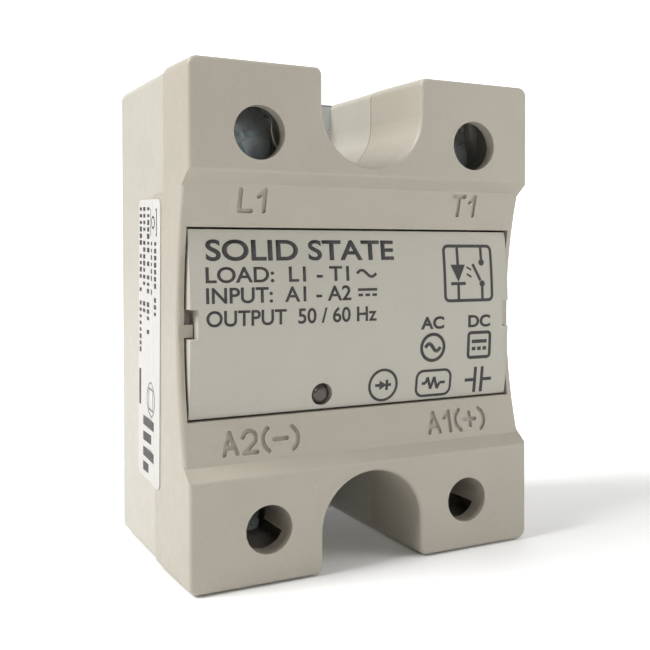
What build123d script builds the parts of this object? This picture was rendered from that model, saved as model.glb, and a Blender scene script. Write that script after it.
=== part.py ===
from build123d import *
import os
from math import cos, hypot, radians, sin

# Panel-mount solid state relay. Millimetres.
# X runs across the relay, Z up its length and Y into the panel.
# The origin is the centre of the mounting face.
# A depth is a distance from the mounting face towards the front, so depth d lies at Y = -d.

# ---- overall form ----
WIDTH = 44.8
HEIGHT = 58.2
DEPTH = 28.8
CORNER_R = 1.3
OVERRUN = 1.0
SKIM = 0.01
FIXING_PITCH = 47.6
FIXING_HOLE_R = 2.65

# ---- base plate ----
PLATE_THICK = 3.6
PLATE_PROUD = 0.3
PLATE_SIDE_GAP = 1.3
PLATE_END_GAP = 0.25
PLATE_EDGE = 0.3
PLATE_CORNER_R = 1.0

# ---- housing ----
HOUSING_INSET = 0.2
POST_RISE = 4.3
POST_LENGTH = 14.4
WALL = 1.8
SIDE_WALL = 2.0
END_WALL = 1.9
DECK = 1.4
FACE_SINK = 2.6
FACE_BULGE = 0.9
FACE_WALL = 1.5
FACE_HEIGHT = 21.5
TOWER_WALL = 1.5

# ---- touch cover ----
COVER_LENGTH = 12.9
COVER_GAP = 0.1
SKIRT = 0.95
FACE_GAP = 0.25
FRONT_WALL = 2.6
HOLE_LIP = 1.6
HOLE_STEP = 0.8
BAND_WALL = 1.6
LEDGE_WALL = 0.5
NOTCH_LAND = 1.15
MOUTH_R = 1.1
LEDGE_RUN = 1.3
LEDGE_SINK = 1.75
BAND_SINK = 4.15
DRAFT = 0.2
EDGE_R = 0.45
TAB_HEIGHT = 3.0
TAB_SHORT = 1.45
TAB_REACH = 1.0
TAB_THICK = 1.4
TAB_GAP = 0.15

# ---- end notches ----
NOTCH_R = 6.4
NOTCH_OFFSET = 0.55
NOTCH_DRAFT = 0.9
NOTCH_WALL = 1.4

# ---- terminal chambers ----
POWER_LENGTH = 12.2
CONTROL_WIDTH = 10.6
CONTROL_LENGTH = 8.7
FLOOR = 1.5
FLOOR_DROP = 4.4
POWER_HOLE_R = 3.0
CONTROL_HOLE_R = 2.75
TUBE_WALL = 1.0
TUBE_LENGTH = 5.6
TUBE_OPENING = 1.1
ENTRY_MARGIN = 1.8

# ---- terminal hardware ----
FIT = 0.05
CLEAR = 0.3
THREAD_START = 1.2
THREAD_SLACK = 0.15
RIM = 0.2
POWER = dict(thread_r=2.5, pitch=0.8, head_r=5.2, head=2.9, shank=9.0, plate=1.5, clamp=1.6,
             lift=3.1, nut=8.0, nut_thick=3.2, recess=2.9, slot=1.3)
CONTROL = dict(thread_r=1.5, pitch=0.5, head_r=3.0, head=2.1, shank=7.4, plate=0.8, clamp=1.1,
               lift=2.4, nut=5.5, nut_thick=2.4, recess=1.7, slot=0.9)
LIFT_REST = 0.1
CLAMP_GAP = 0.5
CLAMP_RIDGE = 0.8
CONTROL_CLAMP = 7.6
SLOT_TURN = 28
TONGUE_WIDTH = 6.0
STRIP_WIDTH = 3.0
STRIP_LAP = 2.0
BOSS_WALL = 1.4
TIP_FLOOR = 1.0

# ---- power stage ----
CERAMIC = 0.63
CERAMIC_HEIGHT = 25.0
PAD = 0.3
PAD_SPLIT = 1.2
PAD_MARGIN = 0.8
CHIP = 9.0
CHIP_THICK = 0.35
CHIP_INSET = 0.6
GATE_FOOT_R = 0.9
GATE_FOOT = 0.5
FOOT_LENGTH = 4.2

# ---- driver board ----
BOARD_THICK = 1.2
BOARD_DROP = 7.1
BOARD_GAP = 0.4
STOP_INSET = 2.0
STOP_R = 1.3
PIN_R = 0.4
PIN_PROUD = 0.7
PIN_SLACK = 0.1
PIN_SHOULDER = 1.0
PIN_INSET = 1.2
LAMP_INSET = 1.6
GUIDE_R = 1.2
GUIDE_HOLE_R = 1.32
GUIDE_X = -5.2
GUIDE_EDGE = 1.75
GUIDE_LIFT = 1.0
GUIDE_FOOT = 0.9
GUIDE_SUNK = 0.35

# ---- side label ----
LABEL_THICK = 0.12
LABEL_BEHIND = 7.2
LABEL_AHEAD = 2.9
LABEL_TOP = 14.2
LABEL_BOTTOM = -19.6
LABEL_R = 1.0

# ---- engraved marks ----
MARK_DEPTH = 0.35
MARK_STROKE = 0.5
MARK_SHARE = 0.49
UPPER_MARKS = 0.63
LOWER_MARKS = 0.54
ARC_STEP = 15

# ---- derived places ----
half_w = WIDTH / 2
half_h = HEIGHT / 2
face_half_h = FACE_HEIGHT / 2
tower_half_w = half_w - SKIRT - FACE_GAP
tower_half_h = face_half_h - FACE_GAP
window_half_w = half_w - SKIRT
face_mid = DEPTH - FACE_SINK
face_edge = face_mid - FACE_BULGE
band_mid = DEPTH - BAND_SINK
band_edge = DEPTH - LEDGE_SINK
notch_z = FIXING_PITCH / 2 + NOTCH_OFFSET
block_in = notch_z - NOTCH_R - NOTCH_LAND
band_half = block_in - LEDGE_RUN
joint_depth = DEPTH - COVER_LENGTH
post_depth = joint_depth + POST_RISE
floor_depth = joint_depth - FLOOR_DROP
front_back = DEPTH - FRONT_WALL
tube_depth = front_back - TUBE_LENGTH
chamber_end = half_h - END_WALL
chamber_x = NOTCH_R + NOTCH_WALL
power_width = half_w - SIDE_WALL - chamber_x
power_x = chamber_x + power_width / 2
power_z = chamber_end - POWER_LENGTH / 2
control_x = chamber_x + CONTROL_WIDTH / 2
control_z = -(chamber_end - CONTROL_LENGTH / 2)
rear_depth = floor_depth - FLOOR
deck_back = joint_depth - DECK
ceramic_front = PLATE_THICK + CERAMIC
board_depth = face_edge - BOARD_DROP
mark_height = MARK_SHARE * (band_half - face_half_h)
upper_mark_z = face_half_h + UPPER_MARKS * (band_half - face_half_h)
lower_mark_z = -face_half_h - LOWER_MARKS * (band_half - face_half_h)
pad_front = ceramic_front + PAD
board_front = board_depth + BOARD_THICK
board_half_w = tower_half_w - TOWER_WALL - BOARD_GAP
board_half_h = tower_half_h - TOWER_WALL - BOARD_GAP
guide_z = -(tower_half_h - GUIDE_EDGE)

# mark, hardware, screw X, screw Z
TERMINALS = [
    ("L1", POWER, -power_x, power_z),
    ("T1", POWER, power_x, power_z),
    ("A2", CONTROL, -control_x, control_z),
    ("A1", CONTROL, control_x, control_z),
]


def slab(x0, x1, d0, d1, z0, z1):
    """Box between two widths, two depths and two heights."""
    centre = Pos((x0 + x1) / 2, -(d0 + d1) / 2, (z0 + z1) / 2)
    return centre * Box(abs(x1 - x0), abs(d1 - d0), abs(z1 - z0))


def prism(outline, d0, d1, taper=0.0):
    """Outline in the XZ plane, run from depth d0 to depth d1."""
    placed = Plane.XZ.offset(d0) * outline
    return extrude(placed, amount=d1 - d0, taper=taper)


def rod(radius, x, z, d0, d1):
    """Round bar along the depth."""
    return prism(Pos(x, z) * Circle(radius), d0, d1)


def side_profile(points, x0, x1):
    """Closed outline of (depth, z) points, run across from x0 to x1."""
    wire = Polyline(*[(-d, z) for d, z in points], close=True)
    return extrude(Plane.YZ.offset(x0) * make_face(wire), amount=x1 - x0)


def depth_on_arc(z, half, edge, middle):
    """Depth of the arc that passes through edge at +-half and through middle at 0."""
    rise = middle - edge
    radius = (half**2 + rise**2) / (2 * abs(rise))
    drop = radius - (radius**2 - z**2) ** 0.5
    return middle - drop if rise > 0 else middle + drop


def front_prism(half, edge, middle, back, x0, x1, outline_ends):
    """Body between a flat back and a front that is an arc in the depth-height plane."""
    arc = ThreePointArc((-edge, half), (-middle, 0), (-edge, -half))
    ends = Polyline((-edge, -half), *[(-d, z) for d, z in outline_ends], (-edge, half))
    return extrude(Plane.YZ.offset(x0) * make_face([arc, ends]), amount=x1 - x0)


def face_prism(shift, back, half, half_x):
    """Tower block with the bulged face, moved back by shift."""
    edge = depth_on_arc(half, tower_half_h, face_edge, face_mid) - shift
    ends = [(back, -half), (back, half)]
    return front_prism(half, edge, face_mid - shift, back, -half_x, half_x, ends)


def cover_profile(shift, back, z_end):
    """Body behind the cover's front: two blocks with slanted ledges and the concave band between them."""
    front = DEPTH - shift
    ends = [
        (front, -block_in),
        (front, -z_end),
        (back, -z_end),
        (back, z_end),
        (front, z_end),
        (front, block_in),
    ]
    reach = half_w + OVERRUN
    return front_prism(band_half, band_edge - shift, band_mid - shift, back, -reach, reach, ends)


def chamber_size(kit):
    """Width and length of the chamber that a set of terminal hardware sits in."""
    if kit is POWER:
        return power_width, POWER_LENGTH
    return CONTROL_WIDTH, CONTROL_LENGTH


def clamp_halves(kit):
    """Half the width and length of a clamp plate. The power clamp fills its chamber."""
    if kit is POWER:
        return power_width / 2 - CLAMP_GAP, POWER_LENGTH / 2 - CLEAR
    return CONTROL_CLAMP / 2, CONTROL_CLAMP / 2


def notch_outline(radius, mouth):
    """U-shaped notch that is open at both ends of the relay, its mouth flared by a radius."""
    reach = half_h + CORNER_R
    upper = Circle(radius) + Pos(0, (reach - notch_z) / 2) * Rectangle(2 * radius, reach - notch_z)
    if mouth > 0:
        z_flare = half_h - notch_z - mouth
        tall = reach - notch_z - z_flare
        flare = Pos(0, z_flare + tall / 2) * Rectangle(2 * (radius + mouth), tall)
        for s in (-1, 1):
            flare -= Pos(s * (radius + mouth), z_flare) * Circle(mouth)
        upper += flare
    return Pos(0, notch_z) * upper + Pos(0, -notch_z) * Rot(0, 0, 180) * upper


def notches(radius, d0, d1, mouth=0.0, taper=0.0):
    """Both notches as cutting tools or, with a larger radius, as the walls around them."""
    return prism(notch_outline(radius, mouth), d0, d1, taper)


def outline(inset, radius):
    """Rounded outline of the relay, inset on every side."""
    return RectangleRounded(WIDTH - 2 * inset, HEIGHT - 2 * inset, radius)


def power_chambers(d0, d1):
    """Cutting tools for the two power terminal chambers."""
    z0 = chamber_end - POWER_LENGTH
    return [slab(s * chamber_x, s * (chamber_x + power_width), d0, d1, z0, chamber_end) for s in (-1, 1)]


def control_chambers(d0, d1):
    """Cutting tools for the two control terminal chambers."""
    z1 = CONTROL_LENGTH - chamber_end
    return [slab(s * chamber_x, s * (chamber_x + CONTROL_WIDTH), d0, d1, -chamber_end, z1) for s in (-1, 1)]


def entry_windows():
    """Wire entries through the end walls, from the terminal plate to the raised clamp."""
    tools = []
    for _, kit, x, z in TERMINALS:
        half = chamber_size(kit)[0] / 2 - ENTRY_MARGIN
        d0 = floor_depth + kit["plate"] + CLEAR / 2
        d1 = d0 + kit["lift"] + kit["clamp"]
        side = 1 if z > 0 else -1
        z_in = side * (chamber_end - OVERRUN)
        tools.append(slab(x - half, x + half, d0, d1, z_in, side * (half_h + OVERRUN)))
    return tools


def corner_posts(inset, gap):
    """Upper corners, where the housing reaches further forward, grown by gap for the cover's cut."""
    posts = []
    half = half_w - inset
    for s in (-1, 1):
        inner = chamber_x + power_width - ENTRY_MARGIN
        z_low = half_h - POST_LENGTH - gap
        post = slab(s * (inner - gap), s * half, joint_depth - 0.5, post_depth + gap, z_low, half_h - inset)
        posts.append(post)
    return posts


def make_housing():
    """Rear shell with tower, terminal chambers and screw bosses."""
    half = half_w - HOUSING_INSET
    shell = prism(outline(HOUSING_INSET, CORNER_R), PLATE_PROUD, joint_depth)
    post_outline = prism(outline(HOUSING_INSET, CORNER_R), PLATE_PROUD, post_depth)
    for post in corner_posts(HOUSING_INSET, 0):
        shell += post & post_outline
    shell += face_prism(0, joint_depth - OVERRUN, tower_half_h, tower_half_w)
    # room for the base plate, then the rear cavity and the taller middle cavity
    shell -= slab(-half + PLATE_SIDE_GAP, half - PLATE_SIDE_GAP, -OVERRUN, PLATE_THICK, -half_h, half_h)
    inner_w = half - WALL
    inner_h = half_h - HOUSING_INSET - WALL
    shell -= slab(-inner_w, inner_w, PLATE_THICK - OVERRUN, rear_depth, -inner_h, inner_h)
    wall_power = chamber_end - POWER_LENGTH - WALL
    wall_control = chamber_end - CONTROL_LENGTH - WALL
    shell -= slab(-inner_w, inner_w, rear_depth - OVERRUN, deck_back, -wall_control, wall_power)
    # tower cavity with a bulged roof
    shell -= face_prism(FACE_WALL, deck_back - OVERRUN, tower_half_h - TOWER_WALL, tower_half_w - TOWER_WALL)
    # walls round the notches
    ring = notches(NOTCH_R + NOTCH_WALL, PLATE_THICK, joint_depth)
    shell += ring & prism(outline(HOUSING_INSET, CORNER_R), PLATE_THICK, joint_depth)
    for tool in power_chambers(floor_depth, DEPTH) + control_chambers(floor_depth, DEPTH):
        shell -= tool
    # bosses that hold the nuts and clear the screw tips
    for _, kit, x, z in TERMINALS:
        half_nut = kit["nut"] / 2 + FIT
        boss = half_nut + BOSS_WALL
        shell += slab(x - boss, x + boss, PLATE_THICK, rear_depth, z - boss, z + boss)
    for _, kit, x, z in TERMINALS:
        half_nut = kit["nut"] / 2 + FIT
        shell -= slab(x - half_nut, x + half_nut, floor_depth - kit["nut_thick"], floor_depth + OVERRUN,
                      z - half_nut, z + half_nut)
        shell -= rod(kit["thread_r"] + CLEAR, x, z, PLATE_THICK + TIP_FLOOR, floor_depth)
    shell -= notches(NOTCH_R, -OVERRUN, DEPTH, MOUTH_R)
    for tool in entry_windows():
        shell -= tool
    # windows that let the terminal strips into the middle cavity
    for _, kit, x, z in TERMINALS:
        length = chamber_size(kit)[1]
        width = TONGUE_WIDTH if kit is POWER else STRIP_WIDTH
        half_strip = width / 2 + CLEAR
        side = 1 if z > 0 else -1
        z_wall = chamber_end - length
        shell -= slab(x - half_strip, x + half_strip, floor_depth, floor_depth + kit["plate"] + CLEAR,
                      side * (z_wall - WALL - OVERRUN), side * (z_wall + OVERRUN))
    # notches for the cover's clip tabs
    for s in (-1, 1):
        tab = TAB_HEIGHT / 2 + TAB_GAP
        shell -= slab(s * (window_half_w - TAB_REACH - TAB_GAP), s * half_w, band_mid - TAB_THICK - CLEAR,
                      DEPTH, -tab, tab)
    # posts that stop the board, and the hole of the light guide
    for sx in (-1, 1):
        for sz in (-1, 1):
            x = sx * (board_half_w - STOP_INSET)
            z = sz * (board_half_h - STOP_INSET)
            shell += rod(STOP_R, x, z, board_front, face_edge - FACE_WALL / 2)
    shell -= rod(GUIDE_HOLE_R, GUIDE_X, guide_z, board_front + GUIDE_LIFT - FIT, DEPTH)
    return shell


def make_base_plate():
    """Heat-transfer plate with the two fixing holes."""
    width = WIDTH - 2 * (HOUSING_INSET + PLATE_SIDE_GAP + FIT)
    plate = prism(RectangleRounded(width, HEIGHT - 2 * PLATE_END_GAP, PLATE_CORNER_R), 0, PLATE_THICK)
    front = plate.faces().sort_by(Axis.Y)[0]
    back = plate.faces().sort_by(Axis.Y)[-1]
    plate = chamfer(front.edges() + back.edges(), PLATE_EDGE)
    for s in (-1, 1):
        plate -= rod(FIXING_HOLE_R, 0, s * FIXING_PITCH / 2, -OVERRUN, PLATE_THICK + OVERRUN)
    return plate


def stroke(x0, z0, x1, z1):
    """One engraved stroke with round ends, as a flat outline."""
    length = hypot(x1 - x0, z1 - z0)
    centre = Pos((x0 + x1) / 2, (z0 + z1) / 2)
    turn = Vector(x1 - x0, z1 - z0, 0).get_signed_angle(Vector(1, 0, 0), Vector(0, 0, 1))
    bar = Rectangle(length, MARK_STROKE)
    shape = Pos(x0, z0) * Circle(MARK_STROKE / 2) + Pos(x1, z1) * Circle(MARK_STROKE / 2)
    return shape + centre * Rot(0, 0, -turn) * bar


def bend(cx, cz, radius, start, sweep):
    """One engraved arc as short strokes. Angles in degrees from +X."""
    steps = max(3, int(abs(sweep) / ARC_STEP))
    angles = [radians(start + sweep * k / steps) for k in range(steps + 1)]
    points = [(cx + radius * cos(a), cz + radius * sin(a)) for a in angles]
    return [stroke(*p, *q) for p, q in zip(points, points[1:])]


def glyph(name):
    """Strokes of one mark, one unit high, standing on z = 0, and its width."""
    h = mark_height
    w = 0.66 * h
    if name == "L":
        return [stroke(0, h, 0, 0), stroke(0, 0, w * 0.9, 0)], w * 0.9
    if name == "1":
        return [stroke(0, 0.7 * h, 0.32 * h, h), stroke(0.32 * h, h, 0.32 * h, 0)], 0.36 * h
    if name == "T":
        return [stroke(0, h, w, h), stroke(w / 2, h, w / 2, 0)], w
    if name == "A":
        bar = stroke(0.16 * w, 0.3 * h, 0.84 * w, 0.3 * h)
        return [stroke(0, 0, w / 2, h), stroke(w / 2, h, w, 0), bar], w
    if name == "2":
        top = bend(w / 2, h - w / 2, w / 2, 170, -205)
        last = radians(-35)
        x = w / 2 + w / 2 * cos(last)
        z = h - w / 2 + w / 2 * sin(last)
        return top + [stroke(x, z, 0, 0), stroke(0, 0, w, 0)], w
    if name == "(":
        return bend(0.62 * h, h / 2, 0.62 * h, 122, 116), 0.26 * h
    if name == ")":
        return bend(-0.36 * h, h / 2, 0.62 * h, 58, -116), 0.26 * h
    if name == "+":
        return [stroke(0, h / 2, w, h / 2), stroke(w / 2, h / 2 - w / 2, w / 2, h / 2 + w / 2)], w
    return [stroke(0, h / 2, w, h / 2)], w


def engrave(cover, text, x_middle, z_base):
    """Cut a row of marks into the concave band, centred on its terminal."""
    gap = 0.34 * mark_height
    rows = [glyph(name) for name in text]
    x = x_middle - (sum(width for _, width in rows) + gap * (len(rows) - 1)) / 2
    tools = []
    for strokes, width in rows:
        tools += [Pos(x, z_base) * shape for shape in strokes]
        x += width + gap
    flat = Sketch() + tools
    cutter = prism(flat, band_mid - 2, DEPTH)
    return cover - (cutter - cover_profile(MARK_DEPTH, joint_depth, half_h))


def make_cover():
    """Touch cover: two blocks, the concave frame between them, guide tubes and clip tabs."""
    back = joint_depth + COVER_GAP
    straight = prism(outline(0, CORNER_R), back, post_depth)
    draft = Plane.XZ.offset(post_depth) * outline(0, CORNER_R)
    front = Plane.XZ.offset(DEPTH) * outline(DRAFT, CORNER_R - DRAFT)
    body = straight + loft([draft.face(), front.face()], ruled=True)
    body &= cover_profile(0, back, half_h + OVERRUN)
    body -= notches(NOTCH_R, 0, post_depth, MOUTH_R)
    body -= notches(NOTCH_R, post_depth, DEPTH + SKIM, MOUTH_R, taper=-NOTCH_DRAFT)
    body = round_front(body)
    # hollow between the skirts, then solid walls put back round the notches
    hollow = prism(outline(SKIRT, CORNER_R), 0, DEPTH) & cover_profile(BAND_WALL, 0, chamber_end)
    block_wall = band_half - LEDGE_WALL
    blocks = slab(-half_w, half_w, 0, DEPTH, block_wall, half_h)
    blocks += slab(-half_w, half_w, 0, DEPTH, -half_h, -block_wall)
    ring = notches(NOTCH_R + NOTCH_WALL, 0, DEPTH)
    body -= hollow - blocks
    for tool in power_chambers(0, front_back):
        body -= tool
    for s in (-1, 1):
        body -= slab(s * chamber_x, s * (chamber_x + power_width), 0, front_back, -chamber_end,
                     POWER_LENGTH - chamber_end)
    # room behind the band between the two chambers of each end
    for s in (-1, 1):
        body -= slab(-chamber_x, chamber_x, 0, front_back, s * (block_wall - LEDGE_WALL), s * half_h) - ring
    # window round the tower face, with clip tabs at mid height
    body -= slab(-window_half_w, window_half_w, 0, DEPTH, -face_half_h, face_half_h)
    for s in (-1, 1):
        tab = slab(s * (window_half_w - TAB_REACH), s * (half_w - 0.3), band_mid - TAB_THICK, DEPTH,
                   -TAB_HEIGHT / 2, TAB_HEIGHT / 2 if s > 0 else TAB_SHORT - TAB_HEIGHT / 2)
        body += tab & cover_profile(0, back, half_h)
    # screwdriver holes, and guide tubes with an open lower side at the control terminals
    for _, kit, x, z in TERMINALS:
        if kit is POWER:
            body -= rod(POWER_HOLE_R, x, z, 0, DEPTH + OVERRUN)
            body -= rod(POWER_HOLE_R + HOLE_STEP, x, z, front_back - OVERRUN, DEPTH - HOLE_LIP)
            continue
        tube = rod(CONTROL_HOLE_R + TUBE_WALL, x, z, tube_depth, front_back + 0.5)
        span = CONTROL_HOLE_R + TUBE_WALL + FIT
        tube -= slab(x - span, x + span, 0, front_back, z - span, z - TUBE_OPENING)
        body += tube
        body -= rod(CONTROL_HOLE_R, x, z, 0, DEPTH + OVERRUN)
    for tool in entry_windows() + corner_posts(-1, COVER_GAP / 2):
        body -= tool
    signs = {"A2": "(-)", "A1": "(+)"}
    for mark, _, x, z in TERMINALS:
        z_middle = upper_mark_z if z > 0 else lower_mark_z
        body = engrave(body, mark + signs.get(mark, ""), x, z_middle - mark_height / 2)
    return body


def round_front(body):
    """Round the front edges of the blocks and the sides of the band."""
    front_faces = [f for f in body.faces() if abs(f.center().Y + DEPTH) < SKIM]
    edges = [e for f in front_faces for e in f.edges()]
    body = fillet(edges, EDGE_R)
    band_sides = [e for e in body.edges() if is_band_side(e)]
    return fillet(band_sides, EDGE_R)


def is_band_side(edge):
    """True for the long curved edge where the concave band meets a side of the cover."""
    middle = edge.center()
    on_side = abs(abs(middle.X) - half_w) < 2 * DRAFT and abs(middle.Z) < 1
    return on_side and edge.length > band_half and middle.Y < -post_depth - 1


def screw(kit, x, z, head_back):
    """Terminal screw with a crowned head, cross recess and slot. The ring grooves stand for its thread."""
    r = kit["head_r"]
    head = kit["head"]
    tip = head_back - kit["shank"]
    crest = kit["thread_r"] - FIT
    root = crest - 0.6 * kit["pitch"]
    pitch = kit["pitch"]
    crown = 0.35 * head
    shoulder = head_back + head - crown
    rim = [(0, head_back + head), (0.55 * r, head_back + head), (r - RIM, shoulder)]
    rim += [(r, shoulder - 1.5 * RIM), (r, head_back + RIM), (r - RIM, head_back)]
    shank = [(crest, head_back), (crest, head_back - THREAD_START * pitch)]
    turns = int(kit["shank"] / pitch - THREAD_START - 1)
    for k in range(turns):
        d = head_back - (THREAD_START + k) * pitch
        shank += [(root, d - 0.35 * pitch), (root, d - 0.5 * pitch)]
        shank += [(crest, d - 0.85 * pitch), (crest, d - pitch)]
    shank += [(root, tip + 1.5 * RIM), (root - 1.5 * RIM, tip), (0, tip)]
    outline_points = [(px, d) for px, d in rim + shank]
    section = make_face(Polyline(*outline_points, close=True))
    body = revolve(section, Axis.Y, 360)
    # the section was drawn with depth along +Y, so turn it to face the front
    body = Pos(x, 0, z) * Rot(180, 0, 0) * body
    top = head_back + head
    recess = kit["recess"]
    wing = kit["slot"]
    cut = slab(-r - OVERRUN, r + OVERRUN, top - 0.4 * head, top + OVERRUN, -wing / 2, wing / 2)
    tapered = Plane.XZ.offset(top + SKIM) * (Rectangle(2 * recess, wing) + Rectangle(wing, 2 * recess))
    cut += extrude(tapered, amount=-0.8 * head, taper=12)
    return body - Pos(x, 0, z) * Rot(0, SLOT_TURN, 0) * cut


def clamp(kit, x, z, back):
    """Clamp plate with two gripping ridges on the wire side."""
    half_x, half_z = clamp_halves(kit)
    thick = kit["clamp"]
    front = back + thick
    body = prism(Pos(x, z) * RectangleRounded(2 * half_x, 2 * half_z, CLAMP_RIDGE), back, front)
    for s in (-1, 1):
        z_ridge = z + s * 0.55 * half_z
        body -= slab(x - half_x, x + half_x, back - OVERRUN, back + 0.25 * thick, z_ridge - CLAMP_RIDGE / 2,
                     z_ridge + CLAMP_RIDGE / 2)
    edges = body.faces().sort_by(Axis.Y)[0].edges()
    body = chamfer(edges, RIM)
    return body - rod(kit["thread_r"] + THREAD_SLACK, x, z, back - OVERRUN, front + OVERRUN)


def nut(kit, x, z):
    """Square nut in its pocket under the terminal plate."""
    side = kit["nut"]
    block = prism(Pos(x, z) * RectangleRounded(side, side, 0.4), floor_depth - kit["nut_thick"], floor_depth)
    return block - rod(kit["thread_r"], x, z, 0, floor_depth + OVERRUN)


def make_busbar(x, z):
    """Copper strip from the terminal chamber down to the pad."""
    kit = POWER
    half_x, half_z = clamp_halves(kit)
    front = floor_depth + kit["plate"]
    z_wall = chamber_end - POWER_LENGTH
    plate = slab(x - half_x, x + half_x, floor_depth, front, z_wall + CLEAR, z + half_z)
    riser_z = CERAMIC_HEIGHT / 2 - PAD_MARGIN
    half_t = TONGUE_WIDTH / 2
    foot = riser_z - FOOT_LENGTH
    t = kit["plate"]
    z_lap = z_wall + STRIP_LAP
    points = [(floor_depth, z_lap), (front, z_lap), (front, riser_z - t), (pad_front + t, riser_z - t),
              (pad_front + t, foot), (pad_front, foot), (pad_front, riser_z), (floor_depth, riser_z)]
    strip = side_profile(points, x - half_t, x + half_t)
    body = plate + strip
    bends = [e for e in body.edges().filter_by(Axis.X) if abs(e.center().Z - riser_z) < SKIM]
    body = fillet(bends, 0.4 * t)
    return body - rod(kit["thread_r"] + THREAD_SLACK, x, z, floor_depth - OVERRUN, front + OVERRUN)


def make_control_terminal(x, z):
    """Brass plate under the control screw, with a strip that ends in a pin through the board."""
    kit = CONTROL
    half_x, half_z = clamp_halves(kit)
    front = floor_depth + kit["plate"]
    z_wall = -(chamber_end - CONTROL_LENGTH)
    plate = slab(x - half_x, x + half_x, floor_depth, front, z - half_z, z_wall - CLEAR)
    pin_z = pin_height()
    half_s = STRIP_WIDTH / 2
    t = kit["plate"]
    z_lap = z_wall - STRIP_LAP
    strip_end = board_depth - PIN_SHOULDER
    points = [(floor_depth, z_lap), (front, z_lap), (front, pin_z - t / 2),
              (strip_end, pin_z - t / 2), (strip_end, pin_z + t / 2), (floor_depth, pin_z + t / 2)]
    strip = side_profile(points, x - half_s, x + half_s)
    body = plate + strip
    body += slab(x - PIN_R, x + PIN_R, strip_end - PIN_R, board_front + PIN_PROUD,
                 pin_z - t / 2, pin_z + t / 2)
    return body - rod(kit["thread_r"] + THREAD_SLACK, x, z, floor_depth - OVERRUN, front + OVERRUN)


def pin_height():
    """Height of the row of control pins, near the board's lower edge."""
    return -(board_half_h - PIN_INSET)


def make_board():
    """Circuit board with holes for the control pins and gate pins."""
    board = prism(RectangleRounded(2 * board_half_w, 2 * board_half_h, 0.8), board_depth, board_front)
    slot_x = PIN_R + PIN_SLACK
    slot_z = CONTROL["plate"] / 2 + PIN_SLACK
    for s in (-1, 1):
        x = s * control_x
        board -= slab(x - slot_x, x + slot_x, 0, DEPTH, pin_height() - slot_z, pin_height() + slot_z)
        board -= rod(PIN_R + PIN_SLACK, s * gate_x(), 0, 0, DEPTH)
    return board


def gate_x():
    """Distance of each gate pin from the middle."""
    return PAD_SPLIT / 2 + CHIP_INSET + CHIP / 2


def on_board(x, z, wide, tall, thick, radius=0.3):
    """Moulded part on the front of the board."""
    body = prism(Pos(x, z) * RectangleRounded(wide, tall, radius), board_front, board_front + thick)
    return chamfer(body.faces().sort_by(Axis.Y)[0].edges(), min(0.2, radius / 2))


def chip_with_ends(x, z, wide, tall, thick):
    """Small chip part whose two solder ends stand a little proud of its body."""
    end = 0.22 * wide
    body = slab(x - wide / 2 + end, x + wide / 2 - end, board_front, board_front + thick - 0.05,
                z - tall / 2 + 0.05, z + tall / 2 - 0.05)
    for s in (-1, 1):
        body += slab(x + s * (wide / 2 - end), x + s * wide / 2, board_front, board_front + thick,
                     z - tall / 2, z + tall / 2)
    return body


def make_opto():
    """Optocoupler: moulded body with six bent legs."""
    x, z, wide, tall = 0, 1.2, 8.6, 6.4
    base = board_front + 0.35
    body = prism(Pos(x, z) * RectangleRounded(wide, tall, 0.5), base, base + 2.9)
    body = chamfer(body.faces().sort_by(Axis.Y)[0].edges(), 0.3)
    for k in (-1, 0, 1):
        for s in (-1, 1):
            z_in = z + s * tall / 2
            leg = slab(x + 2.54 * k - 0.5, x + 2.54 * k + 0.5, base + 0.9, base + 1.2, z_in, z_in + s * 0.8)
            leg += slab(x + 2.54 * k - 0.5, x + 2.54 * k + 0.5, board_front, base + 1.2,
                        z_in + s * 0.5, z_in + s * 0.8)
            body += leg
    return body


def make_ceramic():
    half = power_x + TONGUE_WIDTH / 2 + PAD_MARGIN
    return slab(-half, half, PLATE_THICK, ceramic_front, -CERAMIC_HEIGHT / 2, CERAMIC_HEIGHT / 2)


def make_pads():
    half = power_x + TONGUE_WIDTH / 2
    z = CERAMIC_HEIGHT / 2 - PAD_MARGIN
    return [slab(s * PAD_SPLIT / 2, s * half, ceramic_front, pad_front, -z, z) for s in (-1, 1)]


def make_chips():
    x0 = PAD_SPLIT / 2 + CHIP_INSET
    front = pad_front + CHIP_THICK
    return [slab(s * x0, s * (x0 + CHIP), pad_front, front, -CHIP / 2, CHIP / 2) for s in (-1, 1)]


def make_gate_pins():
    base = pad_front + CHIP_THICK
    pins = []
    for s in (-1, 1):
        foot = rod(GATE_FOOT_R, s * gate_x(), 0, base, base + GATE_FOOT)
        pins.append(foot + rod(PIN_R, s * gate_x(), 0, base, board_front + PIN_PROUD))
    return pins


def make_light_guide():
    """Smoked rod from the board's lamp to the tower face, with a domed tip."""
    face = depth_on_arc(guide_z, tower_half_h, face_edge, face_mid)
    base = board_front + GUIDE_LIFT
    body = rod(GUIDE_R, GUIDE_X, guide_z, base, face - GUIDE_SUNK)
    body = fillet(body.faces().sort_by(Axis.Y)[0].edges(), GUIDE_R * 0.55)
    z_top = lamp_z() + GUIDE_FOOT
    foot = slab(GUIDE_X - GUIDE_R, GUIDE_X + GUIDE_R, base, base + GUIDE_FOOT, guide_z, z_top)
    return body + foot


def lamp_z():
    """Height of the lamp on the board."""
    return -(board_half_h - LAMP_INSET)


def make_leaded_disc():
    """Varistor disc lying behind the board on two legs."""
    x = -11.0
    back = board_depth - 0.5
    body = rod(4.4, x, 0.8, back - 3.2, back)
    ring_edges = body.edges().filter_by(GeomType.CIRCLE)
    body = fillet(ring_edges, 0.9)
    for s in (-1, 1):
        body += rod(0.35, x + s * 2.5, 0.8, back - 0.6, board_depth)
    return body


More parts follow.
